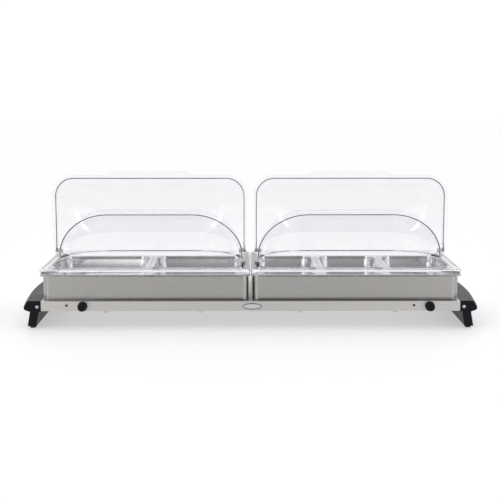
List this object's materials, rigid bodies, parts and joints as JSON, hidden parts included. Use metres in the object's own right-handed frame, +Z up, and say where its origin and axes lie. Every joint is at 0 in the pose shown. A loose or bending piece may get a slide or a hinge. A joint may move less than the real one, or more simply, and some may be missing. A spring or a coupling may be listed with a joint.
{
  "type": "electric buffet server",
  "caption": "Electric buffet server: heated tray on black end pieces, pan frames with lift-out food pans under clear roll-top lids",
  "frame": {"origin": "centre of the server's box, on the table under it", "axes": "+X along the length to the right seen from the front, +Y to the back, +Z up; the controls face -Y"},
  "size_m": [1.192, 0.4096, 0.387],
  "materials": {
    "tray_steel": "long-grain brushed stainless sheet",
    "galvanised": "plain galvanised sheet",
    "zinc": "zinc-plated screws and brackets",
    "element": "heat-darkened element sheath",
    "wool": "glass-wool board",
    "thermostat": "moulded thermostat body",
    "knob": "satin black moulding",
    "lamp": "dark red translucent lens",
    "ceramic": "cream heat-proof moulding",
    "badge": "satin blank plate",
    "inlet": "black moulded inlet",
    "brass": "plated brass blades",
    "wire": "insulated wire",
    "end_piece": "satin black phenolic moulding",
    "foot": "black rubber",
    "frame_steel": "satin stainless sheet",
    "pan_steel": "bright pressed stainless sheet",
    "clear": "clear polycarbonate",
    "pin": "polished rivet",
    "cap": "dark push-on cap"
  },
  "bodies": {
    "tray": {"tray_top": "tray_steel", "tray_bottom": "galvanised", "bottom_screws": "zinc", "heater_left": "element", "heater_right": "element", "heater_straps_left": "zinc", "heater_straps_right": "zinc", "insulation_left": "wool", "insulation_right": "wool", "thermostat_left": "thermostat", "thermostat_right": "thermostat", "thermostat_nut_left": "zinc", "thermostat_nut_right": "zinc", "lamp_lens_left": "lamp", "lamp_lens_right": "lamp", "lamp_body_left": "ceramic", "lamp_body_right": "ceramic", "badge_plate": "badge", "inlet_housing": "inlet", "inlet_pins": "brass", "inlet_screws": "zinc", "terminal_block": "ceramic", "wiring_supply": "wire", "wiring_left": "wire", "wiring_right": "wire", "handle_left": "end_piece", "handle_right": "end_piece", "handle_screws": "zinc", "leg_left": "end_piece", "leg_right": "end_piece", "leg_screws": "zinc", "foot_front_left": "foot", "foot_front_right": "foot", "foot_rear_left": "foot", "foot_rear_right": "foot"},
    "knob_left": {"knob_left": "knob", "knob_shaft_left": "zinc"},
    "knob_right": {"knob_right": "knob", "knob_shaft_right": "zinc"},
    "frame_left": {"pan_frame_left": "frame_steel"},
    "lid_base_left": {"lid_base_left": "clear", "pivot_pins_left": "pin", "pivot_caps_left": "cap"},
    "lid_shell_left": {"lid_shell_left": "clear"},
    "frame_right": {"pan_frame_right": "frame_steel"},
    "lid_base_right": {"lid_base_right": "clear", "pivot_pins_right": "pin", "pivot_caps_right": "cap"},
    "lid_shell_right": {"lid_shell_right": "clear"},
    "half_pan_1": {"half_pan_1": "pan_steel"},
    "half_pan_2": {"half_pan_2": "pan_steel"},
    "third_pan_1": {"third_pan_1": "pan_steel"},
    "third_pan_2": {"third_pan_2": "pan_steel"},
    "third_pan_3": {"third_pan_3": "pan_steel"}
  },
  "joints": [
    {"name": "knob_left_turn", "type": "hinge", "parent": "tray", "child": "knob_left", "pos_m": [-0.432, -0.18475, 0.05774], "axis": [0, 1, 0], "range_deg": [0, 270]},
    {"name": "knob_right_turn", "type": "hinge", "parent": "tray", "child": "knob_right", "pos_m": [0.461, -0.18475, 0.05774], "axis": [0, 1, 0], "range_deg": [0, 270]},
    {"name": "frame_left_lift", "type": "slide", "parent": "tray", "child": "frame_left", "axis": [0, 0, 1], "range_m": [0, 0.1]},
    {"name": "lid_left_lift", "type": "slide", "parent": "frame_left", "child": "lid_base_left", "axis": [0, 0, 1], "range_m": [0, 0.3]},
    {"name": "lid_left_roll", "type": "hinge", "parent": "lid_base_left", "child": "lid_shell_left", "pos_m": [-0.2735, 0.05275, 0.167], "axis": [1, 0, 0], "range_deg": [0, 90]},
    {"name": "frame_right_lift", "type": "slide", "parent": "tray", "child": "frame_right", "axis": [0, 0, 1], "range_m": [0, 0.1]},
    {"name": "lid_right_lift", "type": "slide", "parent": "frame_right", "child": "lid_base_right", "axis": [0, 0, 1], "range_m": [0, 0.3]},
    {"name": "lid_right_roll", "type": "hinge", "parent": "lid_base_right", "child": "lid_shell_right", "pos_m": [0.2735, 0.05275, 0.167], "axis": [1, 0, 0], "range_deg": [0, 90]},
    {"name": "half_pan_1_lift", "type": "slide", "parent": "frame_left", "child": "half_pan_1", "axis": [0, 0, 1], "range_m": [0, 0.12]},
    {"name": "half_pan_2_lift", "type": "slide", "parent": "frame_left", "child": "half_pan_2", "axis": [0, 0, 1], "range_m": [0, 0.12]},
    {"name": "third_pan_1_lift", "type": "slide", "parent": "frame_right", "child": "third_pan_1", "axis": [0, 0, 1], "range_m": [0, 0.12]},
    {"name": "third_pan_2_lift", "type": "slide", "parent": "frame_right", "child": "third_pan_2", "axis": [0, 0, 1], "range_m": [0, 0.12]},
    {"name": "third_pan_3_lift", "type": "slide", "parent": "frame_right", "child": "third_pan_3", "axis": [0, 0, 1], "range_m": [0, 0.12]}
  ],
  "couplings": [
    {"joint": "half_pan_1_lift", "follows": "lid_left_lift", "ratio": 0.4},
    {"joint": "half_pan_2_lift", "follows": "lid_left_lift", "ratio": 0.4},
    {"joint": "third_pan_1_lift", "follows": "lid_right_lift", "ratio": 0.4},
    {"joint": "third_pan_2_lift", "follows": "lid_right_lift", "ratio": 0.4},
    {"joint": "third_pan_3_lift", "follows": "lid_right_lift", "ratio": 0.4}
  ]
}
